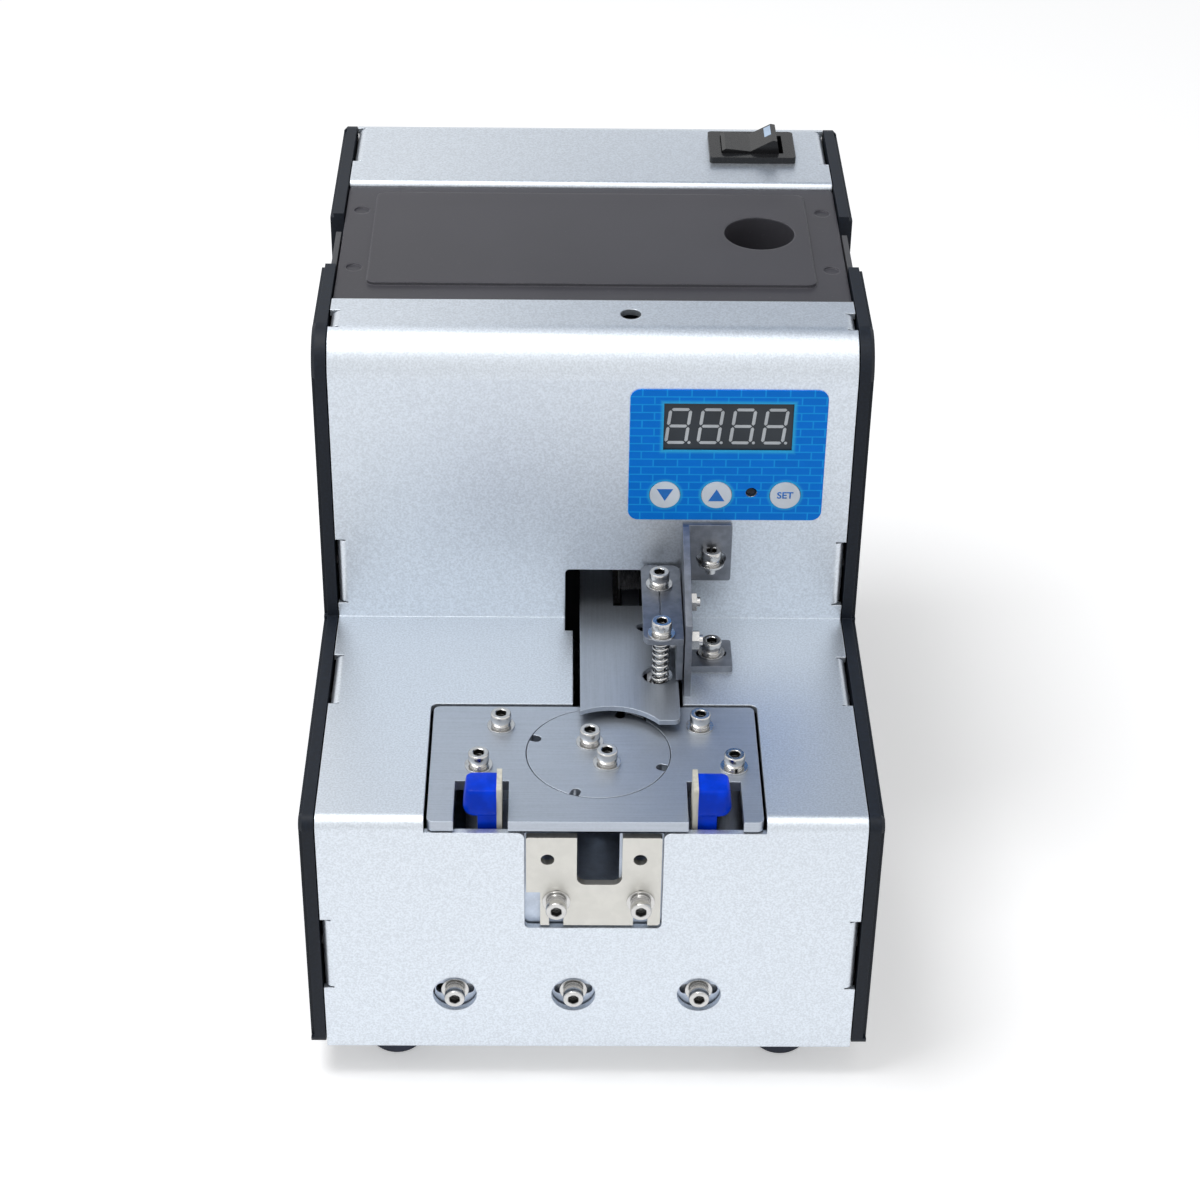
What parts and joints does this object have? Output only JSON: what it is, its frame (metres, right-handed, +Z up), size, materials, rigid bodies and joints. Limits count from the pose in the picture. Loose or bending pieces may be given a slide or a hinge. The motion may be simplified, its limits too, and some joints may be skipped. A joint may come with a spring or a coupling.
{
  "type": "automatic screw feeder",
  "caption": "Desktop screw feeder: hopper with lifter, vibrating rail and notched turntable that hands single screws to a driver bit.",
  "frame": {"origin": "centre of the footprint on the table, between the two side plates and between the front screw heads and the back", "axes": "+X to the right of someone facing the turntable, +Y to the back, +Z up"},
  "size_m": [0.123, 0.1924, 0.1499],
  "materials": {
    "side_plate": "satin black with a fine grain",
    "anodised_cover": "bead-blasted clear anodised",
    "zinc_sheet": "zinc-plated sheet",
    "rubber": "dark moulded rubber",
    "bright_screw": "nickel-plated",
    "black_screw": "black oxide",
    "smoked_lid": "smoked translucent acrylic",
    "dark_moulding": "dark moulded plastic",
    "machined_aluminium": "machined",
    "ground_steel": "ground, straight fine lines",
    "nickel_bracket": "nickel-plated sheet",
    "white_plastic": "white acetal",
    "motor_can": "drawn steel can",
    "brush_hair": "black nylon bristle",
    "coil_copper": "enamelled winding",
    "cast_base": "painted cast base",
    "panel_zinc": "blue passivated zinc",
    "sensor_blue": "blue sleeve",
    "sensor_strip": "beige laminate strip",
    "label": "printed film",
    "display": "dark display face",
    "circuit_board": "green circuit board",
    "button": "pale satin",
    "switch_black": "black moulded plastic"
  },
  "bodies": {
    "housing": {"side_plate_left": "side_plate", "side_plate_right": "side_plate", "front_cover": "anodised_cover", "rear_cover": "anodised_cover", "base_plate": "zinc_sheet", "rubber_feet": "rubber", "foot_screws": "bright_screw", "side_screws": "black_screw", "hopper_bin": "dark_moulding", "guide_rods": "ground_steel", "rod_clamp": "machined_aluminium", "motor_bracket": "zinc_sheet", "gear_motor": "motor_can", "brush_motor": "motor_can", "brush_bracket": "zinc_sheet", "spring_base": "cast_base", "vibrator_coil": "coil_copper", "rail_pedestal": "zinc_sheet", "cover_support": "machined_aluminium", "rail_cover": "ground_steel", "bridge_bracket": "nickel_bracket", "bridge_screws": "bright_screw", "presser_bracket": "nickel_bracket", "presser_screws": "bright_screw", "presser_spring": "bright_screw", "presser_bolts": "bright_screw", "turntable_plate": "ground_steel", "table_screws": "bright_screw", "table_posts": "machined_aluminium", "disc_motor": "motor_can", "table_bracket": "panel_zinc", "front_angle": "zinc_sheet", "adjust_screws": "bright_screw", "guide_bracket": "nickel_bracket", "guide_screws": "bright_screw", "sensor_heads": "sensor_blue", "sensor_brackets": "sensor_strip", "control_label": "label", "display_module": "display", "control_board": "circuit_board", "power_switch": "switch_black", "power_socket": "switch_black", "main_board": "circuit_board"},
    "lid": {"hopper_lid": "smoked_lid"},
    "lifter_unit": {"lifter": "machined_aluminium"},
    "roller": {"lifter_roller": "ground_steel"},
    "cam_unit": {"cam": "white_plastic", "cam_shaft": "ground_steel"},
    "brush": {"brush_wheel": "brush_hair"},
    "rail_unit": {"rail_left": "ground_steel", "rail_right": "ground_steel", "rail_block": "cast_base", "leaf_springs": "ground_steel"},
    "turntable": {"turntable_disc": "ground_steel", "disc_screws": "bright_screw", "disc_hub": "ground_steel"},
    "down_key": {"button_down": "button"},
    "up_key": {"button_up": "button"},
    "set_key": {"button_set": "button"},
    "rocker": {"power_rocker": "switch_black"}
  },
  "joints": [
    {"name": "lid_lift", "type": "slide", "parent": "housing", "child": "lid", "axis": [0, 0, 1], "range_m": [0, 0.04]},
    {"name": "rocker_tilt", "type": "hinge", "parent": "housing", "child": "rocker", "pos_m": [0.0395, 0.08015, 0.1445], "axis": [0, 1, 0], "range_deg": [0, 22]},
    {"name": "down_press", "type": "slide", "parent": "housing", "child": "down_key", "axis": [0, 1, 0], "range_m": [0, 0.0005], "stiffness_N_per_m": 400, "springref_m": -0.0005},
    {"name": "up_press", "type": "slide", "parent": "housing", "child": "up_key", "axis": [0, 1, 0], "range_m": [0, 0.0005], "stiffness_N_per_m": 400, "springref_m": -0.0005},
    {"name": "set_press", "type": "slide", "parent": "housing", "child": "set_key", "axis": [0, 1, 0], "range_m": [0, 0.0005], "stiffness_N_per_m": 400, "springref_m": -0.0005},
    {"name": "turntable_spin", "type": "hinge", "parent": "housing", "child": "turntable", "pos_m": [0.0015, -0.06885, 0.0728], "axis": [0, 0, 1], "continuous": true},
    {"name": "cam_turn", "type": "hinge", "parent": "housing", "child": "cam_unit", "pos_m": [0.0064, 0.0677, 0.052], "axis": [0, 1, 0], "range_deg": [0, 180]},
    {"name": "lifter_rise", "type": "slide", "parent": "housing", "child": "lifter_unit", "axis": [0, 0, 1], "range_m": [0, 0.024]},
    {"name": "roller_spin", "type": "hinge", "parent": "lifter_unit", "child": "roller", "pos_m": [0.0064, 0.0677, 0.065], "axis": [0, 1, 0], "continuous": true},
    {"name": "brush_spin", "type": "hinge", "parent": "housing", "child": "brush", "pos_m": [0.0092, -0.00635, 0.084], "axis": [1, 0, 0], "continuous": true},
    {"name": "rail_shake", "type": "slide", "parent": "housing", "child": "rail_unit", "axis": [0, 1, 0], "range_m": [-0.0002, 0.0002], "stiffness_N_per_m": 5000}
  ],
  "couplings": [
    {"joint": "cam_turn", "follows": "lifter_rise", "rad_per_m": 130.9}
  ]
}
